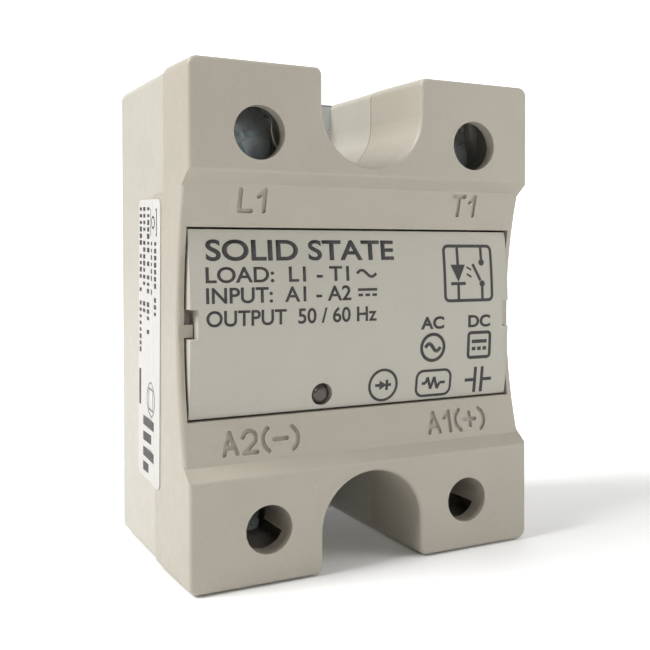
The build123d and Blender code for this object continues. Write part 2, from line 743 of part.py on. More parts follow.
def make_film_capacitor():
    """Box capacitor behind the board."""
    x = 12.0
    body = slab(x - 4.5, x + 4.5, board_depth - 4.2, board_depth, -2.0, 4.0)
    return fillet(body.edges(), 0.35)


def make_snubber_resistor():
    """Axial resistor behind the board, lying across."""
    z = 6.2
    depth = board_depth - 1.6
    body = Pos(0, -depth, z) * Rot(0, 90, 0) * Cylinder(1.2, 6.5)
    body = fillet(body.edges().filter_by(GeomType.CIRCLE), 0.5)
    for s in (-1, 1):
        body += Pos(s * 4.0, -depth, z) * Rot(0, 90, 0) * Cylinder(0.3, 2.2)
        body += rod(0.3, s * 4.8, z, depth, board_depth)
    return body


def make_label(front_part):
    """Paper label on the left side, slit along the joint of housing and cover."""
    z_mid = (LABEL_TOP + LABEL_BOTTOM) / 2
    d_mid = joint_depth + (LABEL_AHEAD - LABEL_BEHIND) / 2
    shape = RectangleRounded(LABEL_AHEAD + LABEL_BEHIND, LABEL_TOP - LABEL_BOTTOM, LABEL_R)
    surface = half_w if front_part else half_w - HOUSING_INSET
    sheet = Plane.YZ.offset(-surface) * Pos(-d_mid, z_mid) * shape
    sheet = extrude(sheet, amount=-LABEL_THICK)
    split = joint_depth + COVER_GAP
    if front_part:
        return sheet & slab(-half_w - OVERRUN, 0, split, DEPTH, -half_h, half_h)
    return sheet & slab(-half_w - OVERRUN, 0, 0, joint_depth, -half_h, half_h)


def save(name, *solids):
    body = solids[0] if len(solids) == 1 else Compound(children=list(solids))
    export_step(body, f"parts/{name}.step")


os.makedirs("parts", exist_ok=True)
save("housing", make_housing())
save("touch_cover", make_cover())
save("base_plate", make_base_plate())
save("ceramic_substrate", make_ceramic())
save("copper_pads", *make_pads())
save("thyristor_chips", *make_chips())
save("gate_pins", *make_gate_pins())

for mark, hardware, screw_x, screw_z in TERMINALS:
    kind = "power" if hardware is POWER else "control"
    plate_front = floor_depth + hardware["plate"]
    clamp_back = plate_front + LIFT_REST + hardware["lift"]
    if hardware is POWER:
        save(f"busbar_{mark}", make_busbar(screw_x, screw_z))
    else:
        save(f"control_terminal_{mark}", make_control_terminal(screw_x, screw_z))
    save(f"{kind}_nut_{mark}", nut(hardware, screw_x, screw_z))
    save(f"{kind}_clamp_{mark}", clamp(hardware, screw_x, screw_z, clamp_back))
    save(f"{kind}_screw_{mark}", screw(hardware, screw_x, screw_z, clamp_back + hardware["clamp"] + FIT))

save("driver_board", make_board())
save("opto_coupler", make_opto())
resistor_places = [(-12.5, 4.6), (-12.5, 2.2), (-8.6, 4.6), (-1.2, -6.2), (9.6, -5.6)]
save("board_resistors", *[chip_with_ends(x, z, 3.2, 1.6, 0.6) for x, z in resistor_places])
capacitor_places = [(-8.6, 1.6), (-12.5, -1.2), (11.0, 4.4)]
save("board_capacitors", *[chip_with_ends(x, z, 2.6, 2.0, 1.2) for x, z in capacitor_places])
save("current_regulator", on_board(11.6, 0.2, 4.4, 2.6, 1.5))
save("zener_diode", on_board(-8.8, -3.0, 4.2, 2.6, 2.1))
save("status_led", on_board(GUIDE_X, lamp_z(), 1.6, 0.9, 0.6, 0.1))
save("light_guide", make_light_guide())
save("varistor", make_leaded_disc())
save("snubber_capacitor", make_film_capacitor())
save("snubber_resistor", make_snubber_resistor())
save("rating_label", make_label(False))
save("label_flap", make_label(True))
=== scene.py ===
"""Finishes, prints, terminal screws and studio for the panel-mount solid state relay.

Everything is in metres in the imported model's frame: X across, Z up, and the front faces -Y.
A depth is a distance from the mounting face towards the front, so depth d lies at Y = -d.
"""

from math import cos, pi, radians, sin

import bmesh
import bpy
from mathutils import Matrix, Vector
from mathutils.bvhtree import BVHTree


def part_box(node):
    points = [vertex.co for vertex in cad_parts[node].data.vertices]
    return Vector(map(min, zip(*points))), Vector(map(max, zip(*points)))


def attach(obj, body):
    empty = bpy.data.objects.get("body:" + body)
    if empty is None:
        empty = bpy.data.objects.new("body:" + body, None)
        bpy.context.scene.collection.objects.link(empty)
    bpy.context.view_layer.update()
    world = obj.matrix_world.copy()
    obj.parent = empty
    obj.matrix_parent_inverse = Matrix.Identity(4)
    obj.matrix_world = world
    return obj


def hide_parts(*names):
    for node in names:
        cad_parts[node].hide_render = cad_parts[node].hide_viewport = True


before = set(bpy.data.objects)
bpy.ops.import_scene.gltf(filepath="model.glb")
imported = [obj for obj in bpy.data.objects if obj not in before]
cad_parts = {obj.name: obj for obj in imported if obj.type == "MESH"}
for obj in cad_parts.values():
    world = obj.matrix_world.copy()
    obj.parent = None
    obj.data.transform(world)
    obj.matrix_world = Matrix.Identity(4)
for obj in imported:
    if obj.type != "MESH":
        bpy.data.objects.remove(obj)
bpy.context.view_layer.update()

bl_info = {
    "name": "Solid State Relay Finisher",
    "version": (1, 0, 0),
    "blender": (4, 5, 0),
    "location": "View3D > Sidebar > Relay",
    "description": "Finishes, prints, terminal screws and studio for a panel-mount solid state relay",
    "category": "Add Mesh",
}

MM = 0.001

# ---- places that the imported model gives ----
HOUSING_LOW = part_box("housing")[0]
COVER_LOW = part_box("touch_cover")[0]
REAR_LABEL_LOW, REAR_LABEL_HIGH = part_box("rating_label")
FLAP_LOW, FLAP_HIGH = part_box("label_flap")
TERMINALS = {"L1": "power", "T1": "power", "A1": "control", "A2": "control"}

# ---- steps and small sizes ----
RING_SIDES = 48
DOT_SIDES = 16
CORNER_STEPS = 6
WAVE_STEPS = 16
SHARP_CORNER = 1e-4
SAME_PLACE = 1e-8
PAPER_THICK = 0.11 * MM
INK_HALF = 0.018 * MM
LABEL_CORNER = 1.0
LABEL_RAMP = 2.0
LABEL_SLIT = 0.03 * MM
BLOCK_STEP = 0.82 * MM
BLOCK_WIDE = 0.62 * MM

# ---- layout of the face print, in millimetres ----
TITLE = ("SOLID STATE", -19.3, 7.0, 23.7)
TITLE_WEIGHT = 0.022
LINE_LEFT = -19.4
LINE_WEIGHT = 0.018
# text, foot and width of each line under the title
PRINT_LINES = (
    ("LOAD:  L1 - T1", 4.55, 17.6), ("INPUT:  A1 - A2", 2.25, 17.8), ("OUTPUT  50 / 60 Hz", -0.3, 21.2))
SUPPLY_WEIGHT = 0.035
SUPPLY_FOOT = -1.65
SUPPLY_TALL = 1.55
SUPPLY_WIDE = 3.4
UPPER_SIGNS = -3.95
LOWER_SIGNS = -8.45

# ---- layout of the side label, in millimetres ----
# depth, top and bottom of each row of small print
LABEL_ROWS = ((16.8, 9.0, -0.4), (14.9, 9.0, 2.2), (13.0, 13.1, -3.7), (11.2, 13.1, -0.6), (9.6, 13.1, -5.5))
# straight bars of the label: from, to and width
LABEL_BARS = (
    (9.5, -6.5, 9.5, -10.9, 0.8),
    (11.0, -12.6, 16.4, -12.6, 1.1),
    (11.0, -14.5, 14.6, -14.5, 1.1),
    (11.0, -16.4, 16.4, -16.4, 1.1),
    (11.0, -18.2, 13.4, -18.2, 1.1),
)

# ---- terminal screws ----
SCREW_SIZES = (
    "Thread Radius", "Pitch", "Shank Length", "Head Radius", "Head Height", "Recess", "Slot", "Turn")
RINGS_PER_TURN = 8.0
THREAD_DEPTH = 0.6
CROSS_DEPTH = 0.72
CROSS_TAPER = 0.3
SLOT_DEPTH = 0.36
# height of the head over its radius, as shares of both
CROWN = ((0.0, 1.0), (0.5, 0.985), (0.75, 0.9), (0.93, 0.72), (1.0, 0.52))

# ---- studio, in metres ----
# place and size of each lamp; its power is the setting of the same name
LAMPS = {
    "key": ((-0.34, 0.02, 0.34), 0.25),
    "upper": ((0.11, -0.14, 0.18), 0.14),
    "front": ((-0.06, -0.26, 0.07), 0.05),
    "side": ((0.17, -0.13, 0.05), 0.12),
}
LAMP_TARGET = (0.0, -0.014, 0.0)
SWEEP_HALF = 3.0
SWEEP_FLAT = 1.2
SWEEP_BEND = 0.8
SWEEP_FLOOR = COVER_LOW.z - 0.02 * MM


# ---- node helpers ----


def add_node(tree, kind, **values):
    """New node; each value is a setting of the node or names one of its inputs."""
    node = tree.nodes.new(kind)
    for key, value in values.items():
        if key.islower():
            setattr(node, key, value)
        else:
            node.inputs[key.replace("_", " ")].default_value = value
    return node


def join(tree, source, socket):
    """Set an input socket to a number, a colour or another socket."""
    if isinstance(source, bpy.types.NodeSocket):
        tree.links.new(source, socket)
    elif isinstance(source, tuple) and len(source) == 3 and socket.type == "RGBA":
        socket.default_value = (*source, 1.0)
    else:
        socket.default_value = source


def sum_node(tree, operation, *sides):
    """Value of one sum; each side is a number or a socket."""
    node = add_node(tree, "ShaderNodeMath", operation=operation)
    for socket, side in zip(node.inputs, sides):
        join(tree, side, socket)
    return node.outputs[0]


def product(tree, *sides):
    """Value of a product."""
    return sum_node(tree, "MULTIPLY", *sides)


def mixed_colour(tree, factor, first, second):
    """Colour between two colours, each a tuple or a socket."""
    node = add_node(tree, "ShaderNodeMix", data_type="RGBA")
    join(tree, factor, node.inputs[0])
    join(tree, first, node.inputs[6])
    join(tree, second, node.inputs[7])
    return node.outputs[2]


def ranged(tree, value, low, high, out_low, out_high):
    """Value carried from one range to another, and held at its ends."""
    ends = dict(From_Min=low, From_Max=high, To_Min=out_low, To_Max=out_high)
    node = add_node(tree, "ShaderNodeMapRange", **ends)
    join(tree, value, node.inputs["Value"])
    return node.outputs[0]


def noise(tree, where, size, detail):
    """Cloud noise whose blobs are about size millimetres wide."""
    node = add_node(tree, "ShaderNodeTexNoise", Scale=1 / size, Detail=detail)
    join(tree, where, node.inputs["Vector"])
    return node.outputs[0]


class Finish:
    """One procedural material: clouds in its colour, grain in its surface, and changing gloss."""

    def __init__(self, name, colour, metallic=0.0, stretch=(1.0, 1.0, 1.0)):
        self.material = bpy.data.materials.new(name)
        self.material.use_nodes = True
        self.tree = self.material.node_tree
        self.shader = self.tree.nodes["Principled BSDF"]
        self.shader.inputs["Metallic"].default_value = metallic
        self.colour = tuple(colour)
        self.normal = None
        place = self.tree.nodes.new("ShaderNodeTexCoord")
        even = add_node(self.tree, "ShaderNodeMapping", Scale=[1 / MM] * 3)
        drawn = add_node(self.tree, "ShaderNodeMapping", Scale=[s / MM for s in stretch])
        for mapping in (even, drawn):
            join(self.tree, place.outputs["Object"], mapping.inputs["Vector"])
        self.even = even.outputs[0]
        self.drawn = drawn.outputs[0]

    def clouds(self, size, amount, tint=(1.0, 1.0, 1.0)):
        """Slow change of colour over the surface, from darker to a tinted lighter one."""
        low = tuple(c * (1 - amount) for c in self.colour)
        high = tuple(min(1.0, c * (1 + amount) * t) for c, t in zip(self.colour, tint))
        share = ranged(self.tree, noise(self.tree, self.even, size, 3), 0.3, 0.7, 0, 1)
        self.colour = mixed_colour(self.tree, share, low, high)
        return self

    def flecks(self, size, edge, colour):
        """Scattered specks where fine noise passes edge."""
        share = ranged(self.tree, noise(self.tree, self.even, size, 0), edge, edge + 0.03, 0, 1)
        self.colour = mixed_colour(self.tree, share, self.colour, tuple(colour))
        return self

    def grain(self, size, height, detail=2.0):
        """Bump of one size, laid over any bump that is there."""
        bump = add_node(self.tree, "ShaderNodeBump", Strength=1.0, Distance=height * MM)
        join(self.tree, noise(self.tree, self.drawn, size, detail), bump.inputs["Height"])
        if self.normal:
            join(self.tree, self.normal, bump.inputs["Normal"])
        self.normal = bump.outputs[0]
        return self

    def gloss(self, low, high, size):
        """Roughness that changes between two values."""
        value = noise(self.tree, self.drawn, size, 3)
        join(self.tree, ranged(self.tree, value, 0.3, 0.7, low, high), self.shader.inputs["Roughness"])
        return self

    def fixed(self, **values):
        """Values that are the same all over, set on the shader itself."""
        for key, value in values.items():
            self.shader.inputs[key.replace("_", " ")].default_value = value
        return self

    def done(self):
        """Join the colour and the surface to the shader."""
        join(self.tree, self.colour, self.shader.inputs["Base Color"])
        if self.normal:
            join(self.tree, self.normal, self.shader.inputs["Normal"])
        return self.material


def dress(material, *nodes):
    """Give CAD nodes one material."""
    for name in nodes:
        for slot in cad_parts[name].material_slots:
            slot.link = "OBJECT"
            slot.material = material


# ---- mesh helpers ----


def new_piece(name, mesh, material, body, smooth=0.0):
    """Finished piece from a mesh that is already in place."""
    mesh.name = name
    mesh.materials.clear()
    mesh.materials.append(material)
    if smooth:
        mesh.shade_smooth()
        mesh.set_sharp_from_angle(angle=radians(smooth))
    piece = bpy.data.objects.new(name, mesh)
    bpy.context.scene.collection.objects.link(piece)
    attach(piece, body)
    return piece


def mesh_from(bm, name):
    """Mesh from a bmesh, with its faces turned outwards."""
    bmesh.ops.recalc_face_normals(bm, faces=bm.faces)
    mesh = bpy.data.meshes.new(name)
    bm.to_mesh(mesh)
    bm.free()
    return mesh


def cad_surface(node):
    """Search tree of a CAD node's faces."""
    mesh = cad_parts[node].data
    corners = [v.co.copy() for v in mesh.vertices]
    return BVHTree.FromPolygons(corners, [tuple(p.vertices) for p in mesh.polygons])


class Artwork:
    """Flat ink shapes in a plane of (across, up), in metres, until they are laid on a surface."""

    def __init__(self):
        self.bm = bmesh.new()

    def polygon(self, points):
        """Filled outline, from points in millimetres."""
        self.bm.faces.new([self.bm.verts.new((x * MM, 0, z * MM)) for x, z in points])

    def bar(self, x0, z0, x1, z1, width):
        """Straight stroke with square ends."""
        start, end = Vector((x0, z0)), Vector((x1, z1))
        along = (end - start).normalized()
        side = Vector((-along.y, along.x)) * (width / 2)
        self.polygon([start + side, start - side, end - side, end + side])

    def strokes(self, points, width):
        """Joined straight strokes along points."""
        for a, b in zip(points, points[1:]):
            self.bar(*a, *b, width)

    def frame(self, x0, z0, x1, z1, width, corner=0.0):
        """Outlined rectangle, with round corners where corner is above zero."""
        self.loop(round_corners(x0, z0, x1, z1, corner), round_corners(
            x0 + width, z0 + width, x1 - width, z1 - width, max(corner - width, 0.0)))

    def ring(self, x, z, radius, width):
        """Circle drawn with a stroke."""
        turns = [2 * pi * k / RING_SIDES for k in range(RING_SIDES)]
        outer = [(x + radius * cos(t), z + radius * sin(t)) for t in turns]
        inner = [(x + (radius - width) * cos(t), z + (radius - width) * sin(t)) for t in turns]
        self.loop(outer, inner)

    def dot(self, x, z, radius):
        """Filled circle."""
        turns = [2 * pi * k / DOT_SIDES for k in range(DOT_SIDES)]
        self.polygon([(x + radius * cos(t), z + radius * sin(t)) for t in turns])

    def loop(self, outer, inner):
        """Band between two outlines that have as many points each."""
        out = [self.bm.verts.new((x * MM, 0, z * MM)) for x, z in outer]
        inn = [self.bm.verts.new((x * MM, 0, z * MM)) for x, z in inner]
        for k in range(len(out)):
            j = (k + 1) % len(out)
            self.bm.faces.new([out[k], out[j], inn[j], inn[k]])

    def letters(self, text, x, z, tall, wide, weight):
        """Line of letters from its lower left corner, with its capital height and its width."""
        capital = letter_mesh("H", weight)
        mesh = letter_mesh(text, weight)
        heights = [v.co.y for v in capital.vertices]
        across = [v.co.x for v in mesh.vertices]
        grow = tall * MM / (max(heights) - min(heights))
        squeeze = wide * MM / (max(across) - min(across))
        mesh.transform(Matrix.Translation((-min(across), -min(heights), 0)))
        mesh.transform(Matrix.Diagonal((squeeze, grow, 1, 1)))
        mesh.transform(Matrix.Rotation(pi / 2, 4, "X"))
        mesh.transform(Matrix.Translation((x * MM, 0, z * MM)))
        self.bm.from_mesh(mesh)
        bpy.data.meshes.remove(capital)
        bpy.data.meshes.remove(mesh)

    def cut(self, spacing):
        """Slice the shapes across at even heights, so that they follow a curved face."""
        bmesh.ops.remove_doubles(self.bm, verts=self.bm.verts, dist=1e-7)
        heights = [v.co.z for v in self.bm.verts]
        z = min(heights) + spacing
        while z < max(heights):
            whole = self.bm.verts[:] + self.bm.edges[:] + self.bm.faces[:]
            bmesh.ops.bisect_plane(
                self.bm, geom=whole, dist=SAME_PLACE, plane_co=(0, 0, z), plane_no=(0, 0, 1))
            z += spacing

    def laid_on(self, depth_at, proud, sunk):
        """Closed ink mesh on a surface; depth_at gives the surface's Y at a place."""
        faces = self.bm.faces[:]
        back = self.bm.verts[:]
        made = bmesh.ops.extrude_face_region(self.bm, geom=faces, use_keep_orig=True)["geom"]
        front = [v for v in made if isinstance(v, bmesh.types.BMVert)]
        for v in back:
            v.co.y = depth_at(v.co.x, v.co.z) + sunk * MM
        for v in front:
            v.co.y = depth_at(v.co.x, v.co.z) - proud * MM
        return mesh_from(self.bm, "ink")


def letter_mesh(text, weight):
    """Flat mesh of a line of plain letters, thickened by weight."""
    curve = bpy.data.curves.new("letters", "FONT")
    curve.body = text
    curve.offset = weight
    holder = bpy.data.objects.new("letters", curve)
    mesh = bpy.data.meshes.new_from_object(holder)
    bpy.data.objects.remove(holder)
    bpy.data.curves.remove(curve)
    return mesh


def round_corners(x0, z0, x1, z1, radius):
    """Outline of a rectangle with round corners, with a fixed count of points."""
    points = []
    for cx, cz, start in ((x1 - radius, z1 - radius, 0), (x0 + radius, z1 - radius, 90),
                          (x0 + radius, z0 + radius, 180), (x1 - radius, z0 + radius, 270)):
        for k in range(CORNER_STEPS + 1):
            t = radians(start + 90 * k / CORNER_STEPS)
            points.append((cx + max(radius, SHARP_CORNER) * cos(t), cz + max(radius, SHARP_CORNER) * sin(t)))
    return points


# ---- settings ----


def colour_prop(name, description, default):
    """Colour setting."""
    return bpy.props.FloatVectorProperty(
        name=name, description=description, default=default, subtype="COLOR", size=3, min=0.0, max=1.0)


def length_prop(name, description, default):
    """Length setting."""
    return bpy.props.FloatProperty(
        name=name, description=description, default=default, unit="LENGTH", subtype="DISTANCE", min=0.0,
        precision=5)


def power_prop(name, description, default):
    """Lamp power setting."""
    return bpy.props.FloatProperty(name=name, description=description, default=default, unit="POWER")


class RelayFinishes(bpy.types.PropertyGroup):
    """Colours of the relay's finishes."""

    housing: colour_prop("Housing", "Moulded plastic of the housing", (0.430, 0.410, 0.354))
    cover: colour_prop("Cover", "Moulded plastic of the touch cover", (0.388, 0.357, 0.297))
    plate: colour_prop("Base plate", "Nickel plating of the base plate", (0.60, 0.62, 0.64))
    zinc: colour_prop("Zinc", "Blue zinc plating of screws and clamps", (0.84, 0.89, 0.93))
    paper: colour_prop("Label", "Paper of the side label", (0.53, 0.515, 0.49))
    ink: colour_prop("Ink", "Printed ink", (0.024, 0.023, 0.023))
    guide: colour_prop("Light guide", "Smoked resin of the light guide", (0.06, 0.05, 0.04))


class RelayPrint(bpy.types.PropertyGroup):
    """Sizes of the printed marks."""

    proud: length_prop("Ink height", "How far the ink stands out of its surface", 0.012 * MM)
    sunk: length_prop("Ink depth", "How far the ink's back lies under the surface", 0.04 * MM)
    slices: length_prop("Slice height", "Height of the slices that follow the bulged face", 0.9 * MM)
    title: length_prop("Title height", "Capital height of the title", 2.35 * MM)
    line: length_prop("Line height", "Capital height of the lines under the title", 1.75 * MM)
    row_height: length_prop("Row height", "Height of a row of small print on the side label", 1.05 * MM)
    label_tilt: bpy.props.FloatProperty(
        name="Label tilt", description="How far the side label is turned from upright",
        default=radians(-1.8), subtype="ANGLE")


class RelayScrews(bpy.types.PropertyGroup):
    """Sizes of the terminal screws."""

    power_thread: length_prop("Load thread", "Crest radius of the load screws", 2.44 * MM)
    power_pitch: length_prop("Load pitch", "Thread pitch of the load screws", 0.8 * MM)
    control_thread: length_prop("Control thread", "Crest radius of the control screws", 1.44 * MM)
    control_pitch: length_prop("Control pitch", "Thread pitch of the control screws", 0.5 * MM)
    slot_turn: bpy.props.FloatProperty(
        name="Slot turn", description="How far the slot is turned from level", default=radians(28),
        subtype="ANGLE")


class RelayStudio(bpy.types.PropertyGroup):
    """Camera and light."""

    lens: bpy.props.FloatProperty(name="Lens", description="Focal length", default=53.368, unit="CAMERA")
    place: bpy.props.FloatVectorProperty(
        name="Camera place", description="Where the camera stands", default=(-0.053007, -0.128473, 0.008229),
        subtype="TRANSLATION", unit="LENGTH")
    yaw: bpy.props.FloatProperty(
        name="Yaw", description="Turn of the camera to the right", default=0.516, subtype="ANGLE")
    pitch: bpy.props.FloatProperty(
        name="Pitch", description="Tilt of the camera upwards", default=-0.021, subtype="ANGLE")
    shift_x: bpy.props.FloatProperty(name="Shift X", description="Sideways lens shift", default=-0.1154)
    shift_y: bpy.props.FloatProperty(name="Shift Y", description="Upward lens shift", default=-0.0846)
    sky: bpy.props.FloatProperty(name="Sky", description="Strength of the even light", default=0.20)
    key: power_prop("Key", "Power of the large lamp above the left side", 3.1)
    upper: power_prop("Upper", "Power of the near lamp above and to the right", 0.09)
    side: power_prop("Side", "Power of the near lamp on the right", 0.13)
    front: power_prop("Front", "Power of the small lamp beside the camera", 0.08)
    wall: bpy.props.FloatProperty(name="Wall", description="Glow of the far wall", default=0.95)
    floor: bpy.props.FloatProperty(
        name="Floor", description="Glow of the floor before the relay", default=0.0)


# ---- plastics and metals ----


class RELAY_OT_plastics(bpy.types.Operator):
    """Give the housing, the cover and the light guide their moulded plastics"""

    bl_idname = "relay.plastics"
    bl_label = "Plastics"

    def execute(self, context):
        colours = context.scene.relay_finishes
        for name, colour, node in (("housing_grey", colours.housing, "housing"),
                                   ("cover_grey", colours.cover, "touch_cover")):
            made = Finish(name, colour).clouds(7.0, 0.02).flecks(0.13, 0.77, [c * 0.82 for c in colour])
            made.flecks(0.15, 0.775, [min(1, c * 1.12) for c in colour])
            made.grain(0.11, 0.012, 1).grain(0.5, 0.014, 2).grain(5.0, 0.03, 1).gloss(0.40, 0.52, 1.2)
            dress(made.fixed(IOR=1.5).done(), node)
        smoked = Finish("smoked_resin", colours.guide).clouds(0.8, 0.3).grain(0.4, 0.004)
        smoked.gloss(0.06, 0.14, 0.5).fixed(IOR=1.52, Coat_Weight=0.4, Coat_Roughness=0.05)
        dress(smoked.done(), "light_guide")
        return {"FINISHED"}


class RELAY_OT_metals(bpy.types.Operator):
    """Give the base plate, terminals, nuts and clamps their plated metals"""

    bl_idname = "relay.metals"
    bl_label = "Metals"

    def execute(self, context):
        colours = context.scene.relay_finishes
        plate = Finish("nickel_plate", colours.plate, 1.0, (0.06, 1.0, 1.0)).clouds(9.0, 0.06)
        plate.grain(0.09, 0.006, 2).gloss(0.26, 0.42, 0.25)
        dress(plate.done(), "base_plate")
        zinc = Finish("zinc_clamp", colours.zinc, 0.6).clouds(1.6, 0.10, (0.95, 1.0, 1.06))
        zinc.grain(0.12, 0.006, 2).grain(1.0, 0.012, 2).gloss(0.24, 0.42, 0.7)
        dress(zinc.done(), *[f"{kind}_clamp_{mark}" for mark, kind in TERMINALS.items()])
        steel = Finish("zinc_nut", (0.52, 0.55, 0.57), 1.0).clouds(1.5, 0.12).grain(0.15, 0.008)
        dress(steel.gloss(0.3, 0.5, 0.5).done(), *[f"{kind}_nut_{mark}" for mark, kind in TERMINALS.items()])
        strip = Finish("nickelled_copper", (0.66, 0.62, 0.56), 1.0, (1.0, 1.0, 0.08)).clouds(3.0, 0.06)
        strip.grain(0.08, 0.005, 2).gloss(0.22, 0.36, 0.3)
        dress(strip.done(), "busbar_L1", "busbar_T1")
        brass = Finish("tinned_brass", (0.68, 0.66, 0.60), 1.0, (1.0, 1.0, 0.1)).clouds(2.0, 0.07)
        brass.grain(0.08, 0.004, 2).gloss(0.25, 0.4, 0.3)
        dress(brass.done(), "control_terminal_A1", "control_terminal_A2")
        copper = Finish("copper", (0.78, 0.40, 0.26), 1.0).clouds(2.5, 0.12, (0.95, 0.9, 0.85))
        copper.grain(0.2, 0.006).gloss(0.3, 0.5, 0.8)
        dress(copper.done(), "copper_pads")
        pins = Finish("tinned_pin", (0.74, 0.74, 0.73), 1.0).clouds(1.0, 0.08).grain(0.1, 0.004)
        dress(pins.gloss(0.2, 0.35, 0.3).done(), "gate_pins")
        return {"FINISHED"}


class RELAY_OT_electronics(bpy.types.Operator):
    """Give the power stage and the driver board their finishes"""

    bl_idname = "relay.electronics"
    bl_label = "Electronics"

    def execute(self, context):
        board = Finish("solder_mask", (0.02, 0.16, 0.07)).clouds(1.4, 0.2)
        board.flecks(0.5, 0.7, (0.04, 0.24, 0.11)).grain(0.3, 0.01)
        board.gloss(0.22, 0.34, 0.8).fixed(Coat_Weight=0.3)
        dress(board.done(), "driver_board")
        ceramic = Finish("alumina", (0.82, 0.80, 0.76)).clouds(2.0, 0.03)
        ceramic.flecks(0.12, 0.7, (0.7, 0.68, 0.64))
        dress(ceramic.grain(0.08, 0.004).gloss(0.5, 0.65, 0.5).done(), "ceramic_substrate")
        silicon = Finish("silicon", (0.12, 0.125, 0.15), 0.6).clouds(1.2, 0.15).grain(0.3, 0.002)
        dress(silicon.gloss(0.12, 0.2, 1.0).done(), "thyristor_chips")
        epoxy = Finish("black_epoxy", (0.022, 0.022, 0.024)).clouds(0.8, 0.2)
        epoxy = epoxy.flecks(0.08, 0.7, (0.05, 0.05, 0.05)).grain(0.07, 0.006).gloss(0.5, 0.62, 0.4).done()
        dress(epoxy, "opto_coupler", "current_regulator", "zener_diode", "board_resistors")
        chip = Finish("ceramic_chip", (0.42, 0.30, 0.20)).clouds(0.7, 0.1)
        dress(chip.grain(0.08, 0.004).gloss(0.35, 0.5, 0.3).done(), "board_capacitors")
        lamp = Finish("lamp_resin", (0.12, 0.62, 0.22)).clouds(0.3, 0.1)
        dress(lamp.grain(0.2, 0.003).gloss(0.1, 0.2, 0.3).done(), "status_led")
        disc = Finish("blue_coating", (0.03, 0.10, 0.42)).clouds(1.2, 0.15)
        dress(disc.grain(0.4, 0.02).gloss(0.18, 0.3, 0.8).done(), "varistor")
        box = Finish("capacitor_box", (0.34, 0.35, 0.36)).clouds(1.2, 0.06)
        dress(box.grain(0.12, 0.006).gloss(0.4, 0.5, 0.5).done(), "snubber_capacitor")
        coat = Finish("resistor_coat", (0.10, 0.30, 0.42)).clouds(0.8, 0.1)
        dress(coat.grain(0.3, 0.01).gloss(0.25, 0.4, 0.5).done(), "snubber_resistor")
        return {"FINISHED"}


# ---- prints ----


def ink_material(colours):
    """Matt printing ink, a little uneven."""
    made = Finish("print_ink", colours.ink).clouds(0.6, 0.25).flecks(0.09, 0.72, (0.07, 0.069, 0.067))
    return made.grain(0.09, 0.004).gloss(0.45, 0.6, 0.4).done()


def draw_relay_symbol(art, x0, z0, x1, z1):
    """Circuit symbol of a relay: a frame with a lamp diode on the left and an open contact on the right."""
    line = 0.40
    art.frame(x0, z0, x1, z1, line, 0.8)
    mid = (z0 + z1) / 2
    left = x0 + 2.2
    half = 1.1
    art.polygon([(left - half, mid + half), (left, mid - half), (left + half, mid + half)])
    art.bar(left - half, mid - half - line / 2, left + half, mid - half - line / 2, line)
    art.bar(left, z1 - line, left, mid + half, line)
    art.bar(left, z0 + line, left, mid - half - line, line)
    for step in (0.55, -0.35):
        art.bar(left + 1.3, mid + step + 0.25, left + 2.0, mid + step - 0.15, 0.24)
    right = x1 - 1.7
    gap = 1.35
    art.bar(right, z1 - line, right, mid + gap + 0.3, line)
    art.bar(right, z0 + line, right, mid - gap - 0.3, line)
    art.dot(right, mid + gap, 0.42)
    art.dot(right, mid - gap, 0.42)
    art.bar(right - 0.25, mid - gap + 0.4, right - 1.35, mid + gap - 0.2, line)


def draw_wave(art, x, z, length, height, width):
    """Sine wave, the sign of alternating current, centred on a place."""
    shares = [k / WAVE_STEPS for k in range(WAVE_STEPS + 1)]
    art.strokes([(x + length * (t - 0.5), z + height * sin(2 * pi * t)) for t in shares], width)


def draw_direct(art, x, z, length, width):
    """Bar over three dashes, the sign of direct current."""
    art.bar(x - length / 2, z + width, x + length / 2, z + width, width)
    for k in (-1, 0, 1):
        art.bar(x + k * length * 0.36 - length * 0.12, z - width, x + k * length * 0.36 + length * 0.12,
                z - width, width)


def draw_diode(art, x, z, size, width):
    """Diode sign lying across."""
    art.polygon([(x - size * 0.6, z + size * 0.7), (x - size * 0.6, z - size * 0.7), (x + size * 0.6, z)])
    art.bar(x + size * 0.6, z + size * 0.75, x + size * 0.6, z - size * 0.75, width)
    art.bar(x - size * 1.3, z, x - size * 0.5, z, width)
    art.bar(x + size * 0.6, z, x + size * 1.3, z, width)


def draw_capacitor(art, x, z):
    """Capacitor sign lying across."""
    for s in (-1, 1):
        art.bar(x + s * 2.05, z, x + s * 0.75, z, 0.42)
        art.bar(x + s * 0.52, z + 1.65, x + s * 0.52, z - 1.65, 0.46)


def draw_resistor(art, x, z, length, width):
    """Zigzag resistor sign lying across."""
    steps = [(-0.5, 0), (-0.34, 0), (-0.26, 1), (-0.12, -1), (0.02, 1), (0.16, -1), (0.26, 0), (0.5, 0)]
    art.strokes([(x + length * a, z + 0.75 * b) for a, b in steps], width)


